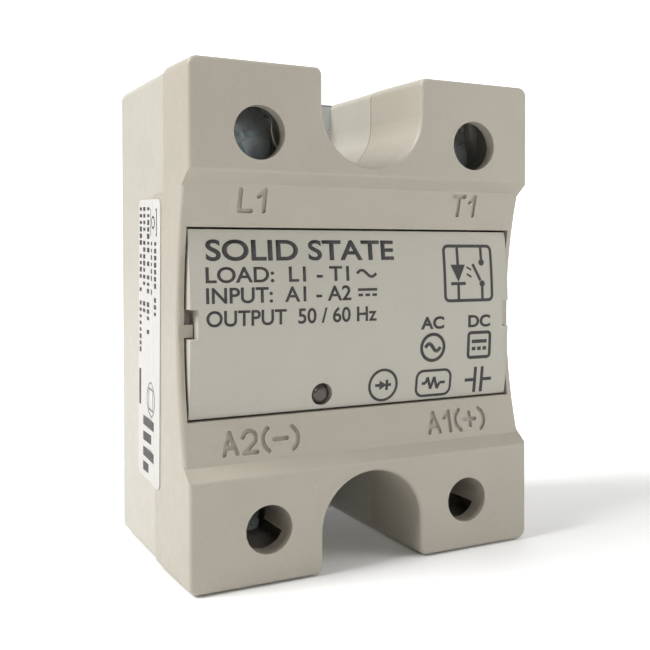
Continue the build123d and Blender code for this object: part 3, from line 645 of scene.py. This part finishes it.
class RELAY_OT_face_print(bpy.types.Operator):
    """Print the tower face: a title, three lines and generic circuit signs"""

    bl_idname = "relay.face_print"
    bl_label = "Face print"

    def execute(self, context):
        sizes = context.scene.relay_print
        art = Artwork()
        text, left, foot, wide = TITLE
        art.letters(text, left, foot, sizes.title / MM, wide, TITLE_WEIGHT)
        for text, foot, wide in PRINT_LINES:
            art.letters(text, LINE_LEFT, foot, sizes.line / MM, wide, LINE_WEIGHT)
        draw_wave(art, 0.55, 5.4, 2.6, 0.4, 0.34)
        draw_direct(art, 0.6, 3.15, 2.6, 0.32)
        draw_relay_symbol(art, 11.4, 1.6, 18.9, 8.9)
        for text, left in (("AC", 8.0), ("DC", 15.0)):
            art.letters(text, left, SUPPLY_FOOT, SUPPLY_TALL, SUPPLY_WIDE, SUPPLY_WEIGHT)
        art.ring(9.8, UPPER_SIGNS, 1.85, 0.42)
        draw_wave(art, 9.8, UPPER_SIGNS, 2.2, 0.5, 0.46)
        art.frame(14.9, UPPER_SIGNS - 1.8, 18.6, UPPER_SIGNS + 1.8, 0.42, 0.6)
        draw_direct(art, 16.75, UPPER_SIGNS, 2.3, 0.46)
        art.ring(2.95, LOWER_SIGNS + 0.2, 2.05, 0.34)
        draw_diode(art, 2.95, LOWER_SIGNS + 0.2, 0.85, 0.36)
        art.frame(7.5, LOWER_SIGNS - 1.75, 12.8, LOWER_SIGNS + 1.75, 0.34, 1.1)
        draw_resistor(art, 10.15, LOWER_SIGNS, 3.4, 0.36)
        draw_capacitor(art, 16.9, LOWER_SIGNS)
        art.cut(sizes.slices)
        surface = cad_surface("housing")

        def depth_at(x, z):
            hit = surface.ray_cast(Vector((x, HOUSING_LOW.y - 1 * MM, z)), Vector((0, 1, 0)))[0]
            if hit is None:
                raise RuntimeError(f"no tower face behind the print at {x:.4f}, {z:.4f}")
            return hit.y

        mesh = art.laid_on(depth_at, sizes.proud / MM, sizes.sunk / MM)
        new_piece("face_print", mesh, ink_material(context.scene.relay_finishes), "housing")
        return {"FINISHED"}


# ---- side label ----


def rows_tree():
    """Geometry Nodes tree for one row of small print: short blocks in words of changing length."""
    tree = bpy.data.node_groups.new("label_row", "GeometryNodeTree")
    face = tree.interface
    face.new_socket("Geometry", in_out="OUTPUT", socket_type="NodeSocketGeometry")
    kinds = dict(Count="Int", Start="Vector", Step="Vector", Block="Vector", Seed="Int", Ink="Material")
    for name, kind in kinds.items():
        face.new_socket(name, in_out="INPUT", socket_type=f"NodeSocket{kind}")
    given = tree.nodes.new("NodeGroupInput")
    out = tree.nodes.new("NodeGroupOutput")
    row = add_node(tree, "GeometryNodeMeshLine", mode="OFFSET")
    join(tree, given.outputs["Count"], row.inputs["Count"])
    join(tree, given.outputs["Start"], row.inputs["Start Location"])
    join(tree, given.outputs["Step"], row.inputs["Offset"])
    spaces = add_node(tree, "FunctionNodeRandomValue", data_type="BOOLEAN", Probability=0.17)
    join(tree, given.outputs["Seed"], spaces.inputs["Seed"])
    thinned = add_node(tree, "GeometryNodeDeleteGeometry", domain="POINT")
    join(tree, row.outputs[0], thinned.inputs["Geometry"])
    join(tree, spaces.outputs[3], thinned.inputs["Selection"])
    block = tree.nodes.new("GeometryNodeMeshCube")
    join(tree, given.outputs["Block"], block.inputs["Size"])
    sizes = add_node(tree, "FunctionNodeRandomValue", data_type="FLOAT_VECTOR")
    sizes.inputs[0].default_value = (1, 0.72, 0.55)
    sizes.inputs[1].default_value = (1, 1, 1)
    join(tree, given.outputs["Seed"], sizes.inputs["Seed"])
    copies = tree.nodes.new("GeometryNodeInstanceOnPoints")
    join(tree, thinned.outputs[0], copies.inputs["Points"])
    join(tree, block.outputs["Mesh"], copies.inputs["Instance"])
    join(tree, sizes.outputs[0], copies.inputs["Scale"])
    real = tree.nodes.new("GeometryNodeRealizeInstances")
    join(tree, copies.outputs[0], real.inputs[0])
    inked = tree.nodes.new("GeometryNodeSetMaterial")
    join(tree, real.outputs[0], inked.inputs["Geometry"])
    join(tree, given.outputs["Ink"], inked.inputs["Material"])
    join(tree, inked.outputs[0], out.inputs[0])
    return tree


def grown(tree, base, values):
    """Plain mesh from a Geometry Nodes tree on a base mesh, with its inputs set by name."""
    holder = bpy.data.objects.new("grower", base)
    bpy.context.scene.collection.objects.link(holder)
    modifier = holder.modifiers.new("grow", "NODES")
    modifier.node_group = tree
    for item in tree.interface.items_tree:
        if item.in_out == "INPUT" and item.name in values:
            modifier[item.identifier] = values[item.name]
    graph = bpy.context.evaluated_depsgraph_get()
    graph.update()
    mesh = bpy.data.meshes.new_from_object(holder.evaluated_get(graph), depsgraph=graph)
    holder.modifiers.remove(modifier)
    bpy.data.objects.remove(holder)
    if not mesh.polygons:
        raise RuntimeError(f"{tree.name} made no faces")
    return mesh


class LabelPlace:
    """Where the side label lies: a plane that steps out at the joint of housing and cover."""

    def __init__(self, tilt):
        self.depth_low = -REAR_LABEL_HIGH.y
        self.depth_high = -FLAP_LOW.y
        self.joint = (-REAR_LABEL_LOW.y - FLAP_HIGH.y) / 2
        self.tilt = tilt
        self.middle = Vector(((self.depth_low + self.depth_high) / 2, (FLAP_LOW.z + FLAP_HIGH.z) / 2))
        self.rear = REAR_LABEL_LOW.x
        self.front = FLAP_LOW.x

    def outer(self, depth):
        """X of the label's outside at a depth. The paper ramps over the step at the joint."""
        t = min(1.0, max(0.0, 1 - (self.joint - depth) / (LABEL_RAMP * MM)))
        return self.rear + (self.front - self.rear) * t * t * (3 - 2 * t)

    def turned(self, depth, z):
        """Depth and height after the label's small turn about its middle."""
        p = Vector((depth, z)) - self.middle
        c, s = cos(self.tilt), sin(self.tilt)
        return self.middle + Vector((c * p.x - s * p.y, s * p.x + c * p.y))


def split_at(mesh, depth, gap):
    """Rear and front halves of a mesh, cut and closed at a depth with a slit between them."""
    halves = []
    for side in (1, -1):
        bm = bmesh.new()
        bm.from_mesh(mesh)
        whole = bm.verts[:] + bm.edges[:] + bm.faces[:]
        at = (0, -depth + side * gap / 2, 0)
        made = bmesh.ops.bisect_plane(
            bm, geom=whole, dist=SAME_PLACE, plane_co=at, plane_no=(0, side, 0), clear_inner=True)
        rim = [e for e in made["geom_cut"] if isinstance(e, bmesh.types.BMEdge)]
        bmesh.ops.holes_fill(bm, edges=rim, sides=0)
        halves.append(mesh_from(bm, "half"))
    return halves


class RELAY_OT_side_label(bpy.types.Operator):
    """Lay the paper label over the joint on the left side, slit there, and print it"""

    bl_idname = "relay.side_label"
    bl_label = "Side label"

    def execute(self, context):
        sizes = context.scene.relay_print
        colours = context.scene.relay_finishes
        place = LabelPlace(sizes.label_tilt)
        paper = Finish("label_paper", colours.paper).clouds(3.0, 0.02)
        paper.flecks(0.12, 0.72, [c * 0.9 for c in colours.paper])
        paper = paper.grain(0.12, 0.006, 2).grain(2.5, 0.015, 1).gloss(0.5, 0.62, 0.8).done()
        rear, front = split_at(self.sheet(place), place.joint, LABEL_SLIT)
        rear_sheet = new_piece("label_rear_sheet", rear, paper, "housing")
        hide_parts("rating_label")
        front_sheet = new_piece("label_flap_sheet", front, paper, "cover")
        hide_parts("label_flap")
        ink = ink_material(colours)
        rear, front = split_at(self.print_mesh(place, sizes, ink), place.joint, LABEL_SLIT)
        new_piece("label_rear_print", rear, ink, "housing")
        new_piece("label_flap_print", front, ink, "cover")
        return {"FINISHED"}

    def sheet(self, place):
        """Closed sheet of paper with round corners, following the step at the joint."""
        bm = bmesh.new()
        ends = (place.depth_low / MM, FLAP_LOW.z / MM, place.depth_high / MM, FLAP_HIGH.z / MM)
        outline = round_corners(*ends, LABEL_CORNER)
        verts = []
        for d, z in outline:
            depth, height = place.turned(d * MM, z * MM)
            verts.append(bm.verts.new((0, -depth, height)))
        bm.faces.new(verts)
        steps = 12
        for k in range(1, steps):
            depth = place.joint - (2.2 - 2.4 * k / steps) * MM
            whole = bm.verts[:] + bm.edges[:] + bm.faces[:]
            bmesh.ops.bisect_plane(
                bm, geom=whole, dist=SAME_PLACE, plane_co=(0, -depth, 0), plane_no=(0, 1, 0))
        made = bmesh.ops.extrude_face_region(bm, geom=bm.faces[:], use_keep_orig=True)["geom"]
        outside = [v for v in made if isinstance(v, bmesh.types.BMVert)]
        moved = set(outside)
        for v in bm.verts:
            outer = place.outer(-v.co.y)
            v.co.x = outer if v in moved else outer + PAPER_THICK
        return mesh_from(bm, "sheet")

    def print_mesh(self, place, sizes, ink):
        """Every printed mark of the label as one closed mesh on the paper."""
        art = Artwork()
        for mark in LABEL_BARS:
            art.bar(*mark)
        art.frame(14.2, 9.9, 17.4, 13.1, 0.22)
        art.ring(15.8, 11.5, 0.75, 0.2)
        art.ring(14.7, -9.6, 2.1, 0.13)
        art.frame(13.4, -10.9, 16.0, -8.3, 0.13)
        art.cut(4 * MM)
        blocks = bmesh.new()
        blocks.from_mesh(art.laid_on(lambda x, z: 0.0, INK_HALF / MM, INK_HALF / MM))
        for v in blocks.verts:
            v.co = Vector((v.co.y, -v.co.x, v.co.z))
        tree = rows_tree()
        for seed, (depth, top, bottom) in enumerate(LABEL_ROWS):
            block = (2 * INK_HALF, sizes.row_height, BLOCK_WIDE)
            row = grown(tree, bpy.data.meshes.new("row"), {
                "Count": int((top - bottom) * MM / BLOCK_STEP), "Start": (0, -depth * MM, top * MM),
                "Step": (0, 0, -BLOCK_STEP), "Block": block, "Seed": seed + 3, "Ink": ink})
            blocks.from_mesh(row)
        for v in blocks.verts:
            depth, height = place.turned(-v.co.y, v.co.z)
            v.co = Vector((v.co.x + place.outer(depth), -depth, height))
        return mesh_from(blocks, "label_print")


# ---- terminal screws ----


def spot(tree):
    """X, Y and Z of the points, with their radius and angle."""
    place = tree.nodes.new("GeometryNodeInputPosition")
    parts = tree.nodes.new("ShaderNodeSeparateXYZ")
    join(tree, place.outputs[0], parts.inputs[0])
    x, y, z = parts.outputs
    radius = sum_node(tree, "SQRT", sum_node(tree, "ADD", product(tree, x, x), product(tree, y, y)))
    return x, y, z, radius, sum_node(tree, "ARCTAN2", y, x)


def moved(tree, mesh, x, y, z):
    """Mesh with its points at new places."""
    together = tree.nodes.new("ShaderNodeCombineXYZ")
    for socket, value in zip(together.inputs, (x, y, z)):
        join(tree, value, socket)
    node = tree.nodes.new("GeometryNodeSetPosition")
    join(tree, mesh, node.inputs["Geometry"])
    join(tree, together.outputs[0], node.inputs["Position"])
    return node.outputs[0]


def threaded_shank(tree, given):
    """Shank under the head: a tall cylinder whose rings move in and out along the helix."""
    length, pitch, crest = given["Shank Length"], given["Pitch"], given["Thread Radius"]
    shank = add_node(tree, "GeometryNodeMeshCylinder", fill_type="TRIANGLE_FAN", Vertices=40)
    join(tree, crest, shank.inputs["Radius"])
    join(tree, length, shank.inputs["Depth"])
    rings = product(tree, RINGS_PER_TURN, sum_node(tree, "DIVIDE", length, pitch))
    join(tree, sum_node(tree, "ROUND", rings), shank.inputs["Side Segments"])
    x, y, z, _, angle = spot(tree)
    half = product(tree, length, 0.5)
    around = sum_node(tree, "DIVIDE", angle, 2 * pi)
    turns = sum_node(tree, "SUBTRACT", sum_node(tree, "DIVIDE", z, pitch), around)
    wave = product(tree, sum_node(tree, "PINGPONG", turns, 0.5), 2.0)
    depth = product(tree, pitch, THREAD_DEPTH)
    below_head = ranged(tree, sum_node(tree, "SUBTRACT", half, z), 0.4 * MM, 1.2 * MM, 0, 1)
    at_tip = ranged(tree, sum_node(tree, "ADD", half, z), 0.0, 0.7 * MM, 1, 0)
    groove = product(tree, product(tree, wave, depth), below_head)
    pull = sum_node(tree, "MAXIMUM", groove, product(tree, depth, at_tip))
    share = sum_node(tree, "DIVIDE", sum_node(tree, "SUBTRACT", crest, pull), crest)
    shaped = moved(tree, shank.outputs["Mesh"], product(tree, x, share), product(tree, y, share), z)
    lowered = tree.nodes.new("GeometryNodeTransform")
    join(tree, shaped, lowered.inputs["Geometry"])
    drop = tree.nodes.new("ShaderNodeCombineXYZ")
    join(tree, product(tree, length, -0.5), drop.inputs[2])
    join(tree, drop.outputs[0], lowered.inputs["Translation"])
    return lowered.outputs[0]


def crowned_head(tree, given):
    """Head: a filled cylinder whose top follows a crown."""
    head = add_node(tree, "GeometryNodeMeshCylinder", fill_type="TRIANGLE_FAN", Vertices=72, Side_Segments=4,
                    Fill_Segments=12)
    join(tree, given["Head Radius"], head.inputs["Radius"])
    join(tree, given["Head Height"], head.inputs["Depth"])
    x, y, z, radius, _ = spot(tree)
    crown = tree.nodes.new("ShaderNodeFloatCurve")
    points = crown.mapping.curves[0].points
    points[0].location = CROWN[0]
    points[1].location = CROWN[-1]
    for px, py in CROWN[1:-1]:
        points.new(px, py)
    crown.mapping.update()
    join(tree, sum_node(tree, "DIVIDE", radius, given["Head Radius"]), crown.inputs["Value"])
    raised = sum_node(tree, "ADD", z, product(tree, given["Head Height"], 0.5))
    return moved(tree, head.outputs["Mesh"], x, y, product(tree, raised, crown.outputs[0]))


def wedge(tree, given, long, wide, deep, taper):
    """Block that gets narrower towards its lower end, from above the head down."""
    block = tree.nodes.new("GeometryNodeMeshCube")
    size = tree.nodes.new("ShaderNodeCombineXYZ")
    for socket, value in zip(size.inputs, (long, wide, product(tree, deep, 2.0))):
        join(tree, value, socket)
    join(tree, size.outputs[0], block.inputs["Size"])
    x, y, z, _, _ = spot(tree)
    lower = sum_node(tree, "LESS_THAN", z, 0.0)
    shrink = sum_node(tree, "SUBTRACT", 1.0, product(tree, lower, taper))
    top = sum_node(tree, "ADD", z, given["Head Height"])
    return moved(tree, block.outputs["Mesh"], product(tree, x, shrink), product(tree, y, shrink), top)


def recessed(tree, given, head):
    """Head with a tapered cross and a shallow slot cut out of it."""
    deep = product(tree, given["Head Height"], CROSS_DEPTH)
    shallow = product(tree, given["Head Height"], SLOT_DEPTH)
    across = product(tree, given["Recess"], 2.0)
    whole = product(tree, given["Head Radius"], 2.2)
    narrow = product(tree, given["Slot"], 0.9)
    cut = add_node(tree, "GeometryNodeMeshBoolean", operation="DIFFERENCE", solver="EXACT")
    join(tree, head, cut.inputs[0])
    for long, wide, depth, taper in ((across, given["Slot"], deep, CROSS_TAPER),
                                     (given["Slot"], across, deep, CROSS_TAPER),
                                     (whole, narrow, shallow, 0.0)):
        tree.links.new(wedge(tree, given, long, wide, depth, taper), cut.inputs[1])
    return cut.outputs[0]


def screw_tree():
    """Geometry Nodes tree for a terminal screw that stands on +Z."""
    tree = bpy.data.node_groups.new("terminal_screw", "GeometryNodeTree")
    face = tree.interface
    face.new_socket("Geometry", in_out="OUTPUT", socket_type="NodeSocketGeometry")
    for name in SCREW_SIZES:
        face.new_socket(name, in_out="INPUT", socket_type="NodeSocketFloat")
    face.new_socket("Place", in_out="INPUT", socket_type="NodeSocketVector")
    face.new_socket("Zinc", in_out="INPUT", socket_type="NodeSocketMaterial")
    given = tree.nodes.new("NodeGroupInput").outputs
    out = tree.nodes.new("NodeGroupOutput")
    both = tree.nodes.new("GeometryNodeJoinGeometry")
    tree.links.new(threaded_shank(tree, given), both.inputs[0])
    tree.links.new(recessed(tree, given, crowned_head(tree, given)), both.inputs[0])
    turned = tree.nodes.new("GeometryNodeTransform")
    join(tree, both.outputs[0], turned.inputs["Geometry"])
    turn = tree.nodes.new("ShaderNodeCombineXYZ")
    join(tree, given["Turn"], turn.inputs[2])
    join(tree, turn.outputs[0], turned.inputs["Rotation"])
    placed = add_node(tree, "GeometryNodeTransform", Rotation=(pi / 2, 0, 0))
    join(tree, turned.outputs[0], placed.inputs["Geometry"])
    join(tree, given["Place"], placed.inputs["Translation"])
    real = tree.nodes.new("GeometryNodeRealizeInstances")
    join(tree, placed.outputs[0], real.inputs[0])
    plated = tree.nodes.new("GeometryNodeSetMaterial")
    join(tree, real.outputs[0], plated.inputs["Geometry"])
    join(tree, given["Zinc"], plated.inputs["Material"])
    join(tree, plated.outputs[0], out.inputs[0])
    return tree


class RELAY_OT_screws(bpy.types.Operator):
    """Make the four terminal screws with helical threads in place of their plain solids"""

    bl_idname = "relay.screws"
    bl_label = "Terminal screws"

    def execute(self, context):
        colours = context.scene.relay_finishes
        sizes = context.scene.relay_screws
        zinc = Finish("zinc_screw", colours.zinc, 0.75).clouds(1.3, 0.12, (0.94, 1.0, 1.07))
        zinc = zinc.grain(0.09, 0.005, 2).grain(0.7, 0.010, 2).gloss(0.30, 0.46, 0.6).done()
        tree = screw_tree()
        for mark, kind in TERMINALS.items():
            node = f"{kind}_screw_{mark}"
            low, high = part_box(node)
            clamp_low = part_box(f"{kind}_clamp_{mark}")[0]
            thread, pitch = ((sizes.power_thread, sizes.power_pitch) if kind == "power"
                             else (sizes.control_thread, sizes.control_pitch))
            head_back = clamp_low.y - 0.05 * MM
            radius = (high.x - low.x) / 2
            mesh = grown(tree, bpy.data.meshes.new("screw"), {
                "Thread Radius": thread, "Pitch": pitch, "Shank Length": high.y - head_back,
                "Head Radius": radius, "Head Height": head_back - low.y, "Recess": 0.56 * radius,
                "Slot": 0.25 * radius, "Turn": sizes.slot_turn,
                "Place": ((low.x + high.x) / 2, head_back, (low.z + high.z) / 2), "Zinc": zinc})
            piece = new_piece(f"screw_{mark}_threaded", mesh, zinc, f"screw_{mark}", smooth=32)
            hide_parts(node)
        return {"FINISHED"}


# ---- studio ----


def aimed(place, target):
    """Turn that points an object's -Z from one place at another."""
    return (Vector(target) - Vector(place)).to_track_quat("-Z", "Y")


def lamp(name, place, size, power):
    """Square area lamp that faces the relay."""
    data = bpy.data.lights.new(name, "AREA")
    data.shape = "SQUARE"
    data.size = size
    data.energy = power
    holder = bpy.data.objects.new(name, data)
    holder.location = place
    holder.rotation_mode = "QUATERNION"
    holder.rotation_quaternion = aimed(place, LAMP_TARGET)
    bpy.context.scene.collection.objects.link(holder)
    return holder


class RELAY_OT_studio(bpy.types.Operator):
    """Set the pale sweep, the soft lights and the camera"""

    bl_idname = "relay.studio"
    bl_label = "Studio"

    def execute(self, context):
        studio = context.scene.relay_studio
        self.sweep(studio)
        for name, (place, size) in LAMPS.items():
            lamp(f"{name}_lamp", place, size, getattr(studio, name))
        world = bpy.data.worlds.new("studio_sky")
        world.use_nodes = True
        back = world.node_tree.nodes["Background"]
        back.inputs["Color"].default_value = (1.0, 1.0, 1.0, 1.0)
        back.inputs["Strength"].default_value = studio.sky
        context.scene.world = world
        context.scene.view_settings.view_transform = "Standard"
        data = bpy.data.cameras.new("camera")
        data.lens = studio.lens
        data.sensor_width = 36.0
        data.shift_x = studio.shift_x
        data.shift_y = studio.shift_y
        data.clip_start = 0.01
        data.dof.use_dof = False
        camera = bpy.data.objects.new("camera", data)
        camera.location = studio.place
        level = cos(studio.pitch)
        ahead = Vector((sin(studio.yaw) * level, cos(studio.yaw) * level, sin(studio.pitch)))
        camera.rotation_mode = "QUATERNION"
        camera.rotation_quaternion = ahead.to_track_quat("-Z", "Y")
        context.scene.collection.objects.link(camera)
        context.scene.camera = camera
        return {"FINISHED"}

    def sweep(self, studio):
        """Pale floor under the relay that curves up into a brighter wall far behind it. The brightness is
        painted glow: emission that rises towards the wall and fades out to the left.
        """
        bm = bmesh.new()
        profile = [(-SWEEP_HALF, 0.0), (SWEEP_FLAT, 0.0)]
        for t in [radians(9 * k) for k in range(1, 11)]:
            profile.append((SWEEP_FLAT + SWEEP_BEND * sin(t), SWEEP_BEND * (1 - cos(t))))
        profile.append((SWEEP_FLAT + SWEEP_BEND, SWEEP_HALF))
        ends = (-SWEEP_HALF, SWEEP_HALF)
        rows = [[bm.verts.new((x, y, SWEEP_FLOOR + z)) for y, z in profile] for x in ends]
        for k in range(len(profile) - 1):
            bm.faces.new([rows[0][k], rows[1][k], rows[1][k + 1], rows[0][k + 1]])
        mesh = bpy.data.meshes.new("pale_sweep")
        bm.to_mesh(mesh)
        bm.free()
        pale = Finish("pale_paper", (0.92, 0.92, 0.915)).clouds(180.0, 0.006)
        pale.grain(0.4, 0.01).gloss(0.6, 0.7, 2.0)
        behind = add_node(pale.tree, "ShaderNodeVectorMath", operation="DOT_PRODUCT")
        join(pale.tree, pale.even, behind.inputs[0])
        behind.inputs[1].default_value = (sin(studio.yaw), cos(studio.yaw), 0.0)
        apart = add_node(pale.tree, "ShaderNodeSeparateXYZ")
        join(pale.tree, pale.even, apart.inputs[0])
        # painted glow: emission rises from the floor setting near the relay to the wall setting far behind
        # it, and fades out to the left of the relay
        rise = ranged(pale.tree, behind.outputs["Value"], -20.0, 170.0, studio.floor, studio.wall)
        right = ranged(pale.tree, apart.outputs[0], -260.0, -90.0, 0, 1)
        glow = product(pale.tree, rise, right)
        pale.fixed(Emission_Color=(1.0, 1.0, 1.0, 1.0))
        join(pale.tree, glow, pale.shader.inputs["Emission Strength"])
        mesh.materials.append(pale.done())
        mesh.shade_smooth()
        floor = bpy.data.objects.new("pale_sweep", mesh)
        bpy.context.scene.collection.objects.link(floor)



# ---- panel and registration ----


OPERATORS = (
    RELAY_OT_plastics,
    RELAY_OT_metals,
    RELAY_OT_electronics,
    RELAY_OT_face_print,
    RELAY_OT_side_label,
    RELAY_OT_screws,
    RELAY_OT_studio,
)
GROUPS = {
    "relay_finishes": RelayFinishes,
    "relay_print": RelayPrint,
    "relay_screws": RelayScrews,
    "relay_studio": RelayStudio,
}


class RELAY_PT_build(bpy.types.Panel):
    """Steps that finish the relay, with their settings"""

    bl_idname = "RELAY_PT_build"
    bl_label = "Solid State Relay"
    bl_space_type = "VIEW_3D"
    bl_region_type = "UI"
    bl_category = "Relay"

    def draw(self, context):
        for operator in OPERATORS:
            self.layout.operator(operator.bl_idname)
        for name, group in GROUPS.items():
            box = self.layout.box()
            settings = getattr(context.scene, name)
            for key in group.__annotations__:
                box.prop(settings, key)


def register():
    for kind in (*GROUPS.values(), *OPERATORS, RELAY_PT_build):
        bpy.utils.register_class(kind)
    for name, group in GROUPS.items():
        setattr(bpy.types.Scene, name, bpy.props.PointerProperty(type=group))


def unregister():
    for name in GROUPS:
        delattr(bpy.types.Scene, name)
    for kind in reversed((*GROUPS.values(), *OPERATORS, RELAY_PT_build)):
        bpy.utils.unregister_class(kind)


def main():
    """Finish the relay step by step."""
    register()
    for operator in OPERATORS:
        family, name = operator.bl_idname.split(".")
        getattr(getattr(bpy.ops, family), name)()


if __name__ == "__main__":
    main()
